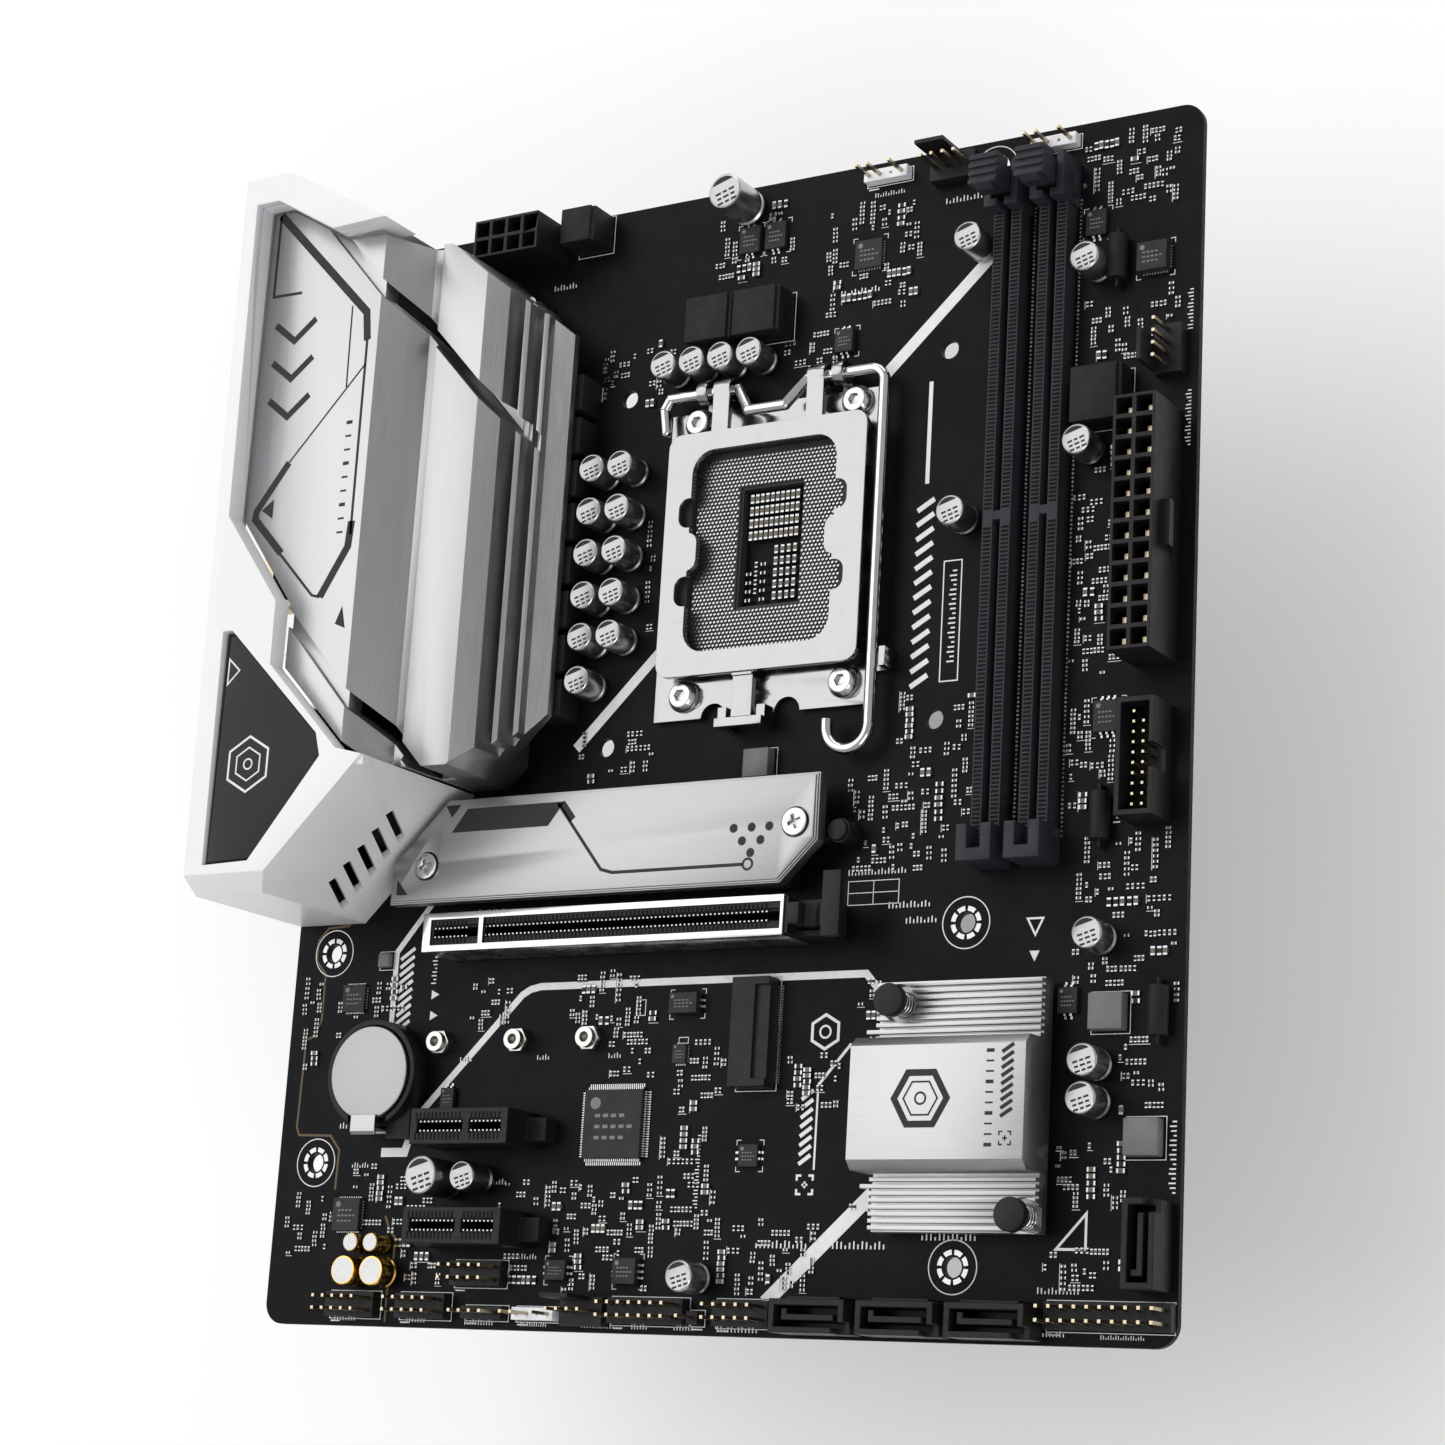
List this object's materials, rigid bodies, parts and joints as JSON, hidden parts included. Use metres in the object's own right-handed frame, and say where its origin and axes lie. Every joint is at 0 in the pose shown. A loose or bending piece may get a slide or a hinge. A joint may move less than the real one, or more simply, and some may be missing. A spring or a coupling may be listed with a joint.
{
  "type": "motherboard",
  "caption": "Small desktop motherboard with processor socket, memory and expansion slots, white rear port cover and silver heatsinks.",
  "frame": {"origin": "axis of the rear column's middle case hole, at the underside of the board", "axes": "+Z out of the component side, +Y along the long side towards the processor power socket, +X from the rear ports to the front edge"},
  "size_m": [0.2194, 0.2474, 0.0456],
  "materials": {
    "board": "solder mask, satin",
    "white_plastic": "satin",
    "gloss_black": "gloss",
    "brushed_aluminium": "brushed, satin",
    "silver_plate": "fine brushed",
    "screw_steel": "nickel plated",
    "thermal_pad": "soft, matte",
    "chip_black": "moulded, matte",
    "choke_black": "pressed powder, matte",
    "black_steel": "painted, satin",
    "socket_plastic": "moulded",
    "contact_gold": "gold plated",
    "stamped_steel": "nickel plated, bright",
    "wire_steel": "polished",
    "slot_grey": "moulded, matte",
    "slot_black": "moulded, matte",
    "shell_steel": "tinned",
    "post_nickel": "nickel plated",
    "chip_green": "laminate",
    "cell_steel": "fine brushed",
    "can_aluminium": "satin",
    "can_gold": "gold sleeve, gloss",
    "inductor_grey": "ferrite, matte"
  },
  "bodies": {
    "board_assembly": {"circuit_board": "board", "rear_cover": "white_plastic", "cover_inset": "gloss_black", "power_heatsink": "brushed_aluminium", "power_heatsink_screws": "screw_steel", "power_pads": "thermal_pad", "power_transistors": "chip_black", "power_chokes": "choke_black", "upper_chokes": "choke_black", "memory_choke": "choke_black", "socket_backplate": "black_steel", "socket_body": "socket_plastic", "socket_contacts": "contact_gold", "socket_frame": "stamped_steel", "socket_screws": "screw_steel", "memory_slots": "slot_grey", "long_slot": "slot_black", "long_slot_shell": "shell_steel", "short_slots": "slot_black", "m2_cover": "silver_plate", "m2_cover_screws": "screw_steel", "m2_pad": "thermal_pad", "m2_socket_covered": "slot_black", "m2_socket_open": "slot_black", "m2_posts": "post_nickel", "chipset": "chip_green", "chipset_pad": "thermal_pad", "chipset_heatsink": "silver_plate", "push_pins": "slot_black", "push_pin_springs": "wire_steel", "cell_holder": "slot_black", "coin_cell": "cell_steel", "main_power_socket": "slot_black", "processor_power_socket": "slot_black", "power_pins": "contact_gold", "data_sockets": "slot_black", "usb_header": "slot_black", "pin_headers": "slot_black", "fan_headers": "slot_black", "white_headers": "white_plastic", "header_pins": "contact_gold", "usb_ports": "shell_steel", "network_port": "shell_steel", "display_ports": "shell_steel", "audio_ports": "slot_black", "antenna_jacks": "contact_gold", "small_capacitors": "can_aluminium", "large_capacitors": "can_aluminium", "audio_capacitors": "can_gold", "control_chip": "chip_black", "small_chips": "chip_black", "drum_inductors": "inductor_grey", "axial_inductors": "choke_black", "guide_post": "slot_black"},
    "load_plate": {"load_plate": "stamped_steel"},
    "load_lever": {"load_lever": "wire_steel"},
    "latch_inner": {"memory_latch_inner": "slot_grey"},
    "latch_outer": {"memory_latch_outer": "slot_grey"},
    "slot_latch": {"long_slot_latch": "slot_black"},
    "cell_clip": {"cell_clip": "stamped_steel"}
  },
  "joints": [
    {"name": "load_lever_swing", "type": "hinge", "parent": "board_assembly", "child": "load_lever", "pos_m": [0.10704, 0.11599, 0.006], "axis": [-1, 0, 0], "range_deg": [0, 105]},
    {"name": "load_plate_swing", "type": "hinge", "parent": "board_assembly", "child": "load_plate", "pos_m": [0.10704, 0.11599, 0.006], "axis": [-1, 0, 0], "range_deg": [0, 90]},
    {"name": "inner_latch_swing", "type": "hinge", "parent": "board_assembly", "child": "latch_inner", "pos_m": [0.16054, 0.15039, 0.0052], "axis": [-1, 0, 0], "range_deg": [0, 26]},
    {"name": "outer_latch_swing", "type": "hinge", "parent": "board_assembly", "child": "latch_outer", "pos_m": [0.17074, 0.15039, 0.0052], "axis": [-1, 0, 0], "range_deg": [0, 26]},
    {"name": "slot_latch_swing", "type": "hinge", "parent": "board_assembly", "child": "slot_latch", "pos_m": [0.12544, 0.00104, 0.005], "axis": [0, 1, 0], "range_deg": [0, 25]},
    {"name": "cell_clip_flex", "type": "hinge", "parent": "board_assembly", "child": "cell_clip", "pos_m": [0.01704, -0.03946, 0.00195], "axis": [1, 0, 0], "range_deg": [0, 10], "stiffness_Nm_per_rad": 0.02}
  ],
  "couplings": [
    {"joint": "load_plate_swing", "follows": "load_lever_swing", "ratio": 0.85}
  ]
}
